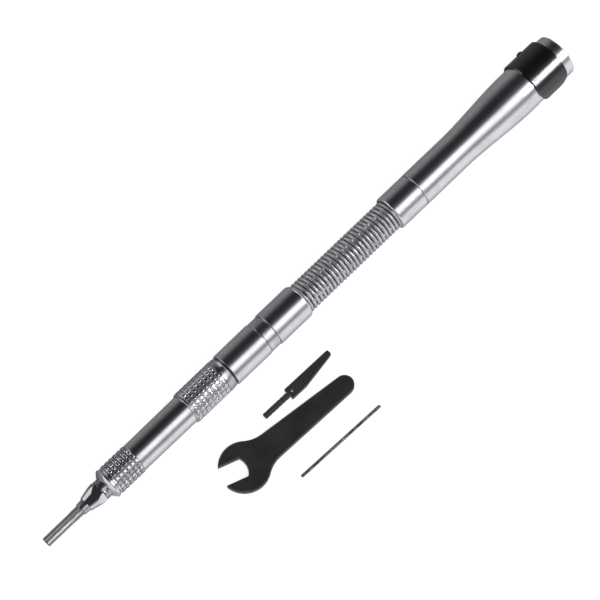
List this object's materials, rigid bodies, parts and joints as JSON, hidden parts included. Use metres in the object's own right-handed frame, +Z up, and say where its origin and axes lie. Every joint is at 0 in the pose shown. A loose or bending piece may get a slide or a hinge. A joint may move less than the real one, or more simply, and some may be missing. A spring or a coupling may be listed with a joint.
{
  "type": "rotary tool with flex shaft",
  "caption": "Slim chrome flex-shaft handpiece with a coil-spring neck, knurled grips and a collet chuck, beside its flat wrench, locking pin and tapered key.",
  "frame": {"origin": "centre of the set's bounding box in plan, on the surface that it lies on", "axes": "+X along the handpiece from its nose to its mouth, +Z up from the surface; the loose pieces lie on the -Y side"},
  "size_m": [0.1992, 0.0436, 0.0151],
  "materials": {
    "chrome": "polished chrome plate",
    "steel": "turned steel",
    "spring": "plated spring wire",
    "hardened": "ground steel",
    "brass": "machined brass",
    "black": "black oxide, slightly glossy",
    "bright": "ground and polished"
  },
  "bodies": {
    "handle": {"rear_ferrule": "chrome", "handle_shell": "chrome", "socket_bush": "brass", "spring_clip": "black", "rear_bearing_outer_race": "steel", "bearing_lock_ring": "steel"},
    "grip": {"nose_cap": "chrome", "front_barrel": "chrome", "grip_sleeve": "chrome", "mid_barrel": "chrome", "lock_collar": "chrome", "front_ferrule": "chrome", "nose_bearing_outer_race": "steel", "mid_bearing_outer_race": "steel", "bearing_spacer": "steel", "wave_washer": "steel", "outer_spring": "spring", "inner_spring": "steel"},
    "spindle": {"front_spindle": "steel", "collet": "bright", "nose_bearing_inner_race": "steel", "mid_bearing_inner_race": "steel", "flexible_core": "steel"},
    "nut": {"collet_nut": "chrome"},
    "blank": {"blank_shank": "bright"},
    "nose_cage": {"nose_bearing_ball_cage": "brass"},
    "mid_cage": {"mid_bearing_ball_cage": "brass"},
    "rear_cage": {"rear_bearing_ball_cage": "brass"},
    "drive": {"rear_drive": "steel", "rear_bearing_inner_race": "steel"},
    "release_pin": {"lock_pin": "black"},
    "spanner": {"wrench": "black"},
    "spindle_pin": {"locking_pin": "hardened"},
    "key": {"tapered_key": "black"}
  },
  "joints": [
    {"name": "neck_bend", "type": "hinge", "parent": "handle", "child": "grip", "pos_m": [0.01371, 0.0141, 0.00622], "axis": [0, 1, 0], "range_deg": [-40, 40], "stiffness_Nm_per_rad": 0.6, "deforming": ["outer_spring", "inner_spring", "flexible_core"]},
    {"name": "spindle_spin", "type": "hinge", "parent": "grip", "child": "spindle", "pos_m": [-0.07968, 0.0141, 0.00457], "axis": [0.9998, 0, 0.0176], "continuous": true},
    {"name": "nut_turn", "type": "hinge", "parent": "spindle", "child": "nut", "pos_m": [-0.08488, 0.0141, 0.00448], "axis": [-0.9998, 0, -0.0176], "range_deg": [0, 180]},
    {"name": "blank_slide", "type": "slide", "parent": "spindle", "child": "blank", "axis": [-0.9998, 0, -0.0176], "range_m": [0, 0.01]},
    {"name": "nose_cage_spin", "type": "hinge", "parent": "grip", "child": "nose_cage", "pos_m": [-0.07428, 0.0141, 0.00467], "axis": [0.9998, 0, 0.0176], "continuous": true},
    {"name": "mid_cage_spin", "type": "hinge", "parent": "grip", "child": "mid_cage", "pos_m": [-0.04299, 0.0141, 0.00522], "axis": [0.9998, 0, 0.0176], "continuous": true},
    {"name": "rear_cage_spin", "type": "hinge", "parent": "handle", "child": "rear_cage", "pos_m": [0.0424, 0.0141, 0.00672], "axis": [0.9998, 0, 0.0176], "continuous": true},
    {"name": "rear_drive_spin", "type": "hinge", "parent": "handle", "child": "drive", "pos_m": [0.038, 0.0141, 0.00664], "axis": [0.9998, 0, 0.0176], "continuous": true},
    {"name": "lock_pin_lift", "type": "slide", "parent": "handle", "child": "release_pin", "axis": [-0.0044, 0.9681, 0.2503], "range_m": [0, 0.0006], "stiffness_N_per_m": 800},
    {"name": "wrench_lift", "type": "slide", "parent": "handle", "child": "spanner", "axis": [0, 0, 1], "range_m": [0, 0.03]},
    {"name": "locking_pin_lift", "type": "slide", "parent": "handle", "child": "spindle_pin", "axis": [0, 0, 1], "range_m": [0, 0.03]},
    {"name": "tapered_key_lift", "type": "slide", "parent": "handle", "child": "key", "axis": [0, 0, 1], "range_m": [0, 0.03]}
  ],
  "couplings": [
    {"joint": "rear_drive_spin", "follows": "spindle_spin", "ratio": 1},
    {"joint": "nose_cage_spin", "follows": "spindle_spin", "ratio": 0.41525},
    {"joint": "mid_cage_spin", "follows": "spindle_spin", "ratio": 0.41525},
    {"joint": "rear_cage_spin", "follows": "spindle_spin", "ratio": 0.41525}
  ]
}
